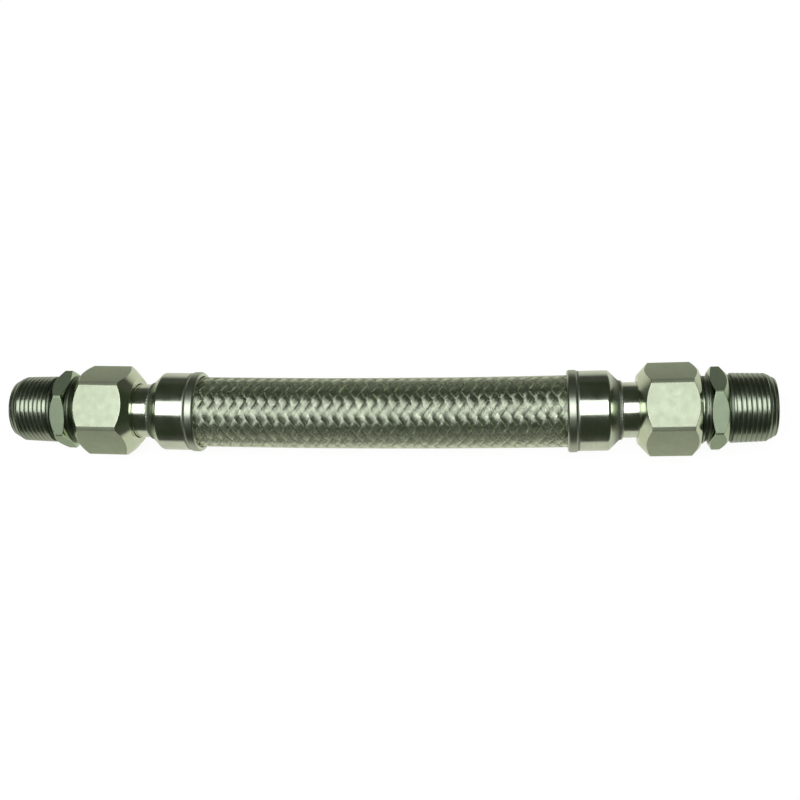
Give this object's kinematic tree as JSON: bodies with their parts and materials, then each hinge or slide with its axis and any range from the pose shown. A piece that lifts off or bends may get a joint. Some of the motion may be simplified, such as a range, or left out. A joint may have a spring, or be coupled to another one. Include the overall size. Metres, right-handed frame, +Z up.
{
  "type": "braided corrugated stainless steel hose connector",
  "caption": "Short straight flexible metal hose connector: corrugated hose in a woven wire braid, with a union nut and a male tapered pipe adapter at each end.",
  "frame": {"origin": "on the surface that the connector lies on, midway between its two nuts", "axes": "+X along the connector towards its right end, +Y across it, away from the side that the hose bows to, +Z up"},
  "size_m": [0.3004, 0.0363, 0.032],
  "materials": {
    "hose_steel": "thin rolled stainless sheet, dull",
    "braid_steel": "drawn stainless wire, bright",
    "collar_steel": "pressed stainless, polished",
    "tube_steel": "turned stainless tube, polished",
    "nut_steel": "milled stainless, satin",
    "adapter_steel": "turned stainless, bright"
  },
  "bodies": {
    "root": {"corrugated_hose": "hose_steel", "wire_braid": "braid_steel", "collar_left": "collar_steel", "collar_right": "collar_steel", "tail_left": "tube_steel", "tail_right": "tube_steel", "union_nut_left": "nut_steel", "union_nut_right": "nut_steel", "adapter_left": "adapter_steel", "adapter_right": "adapter_steel"}
  },
  "joints": []
}
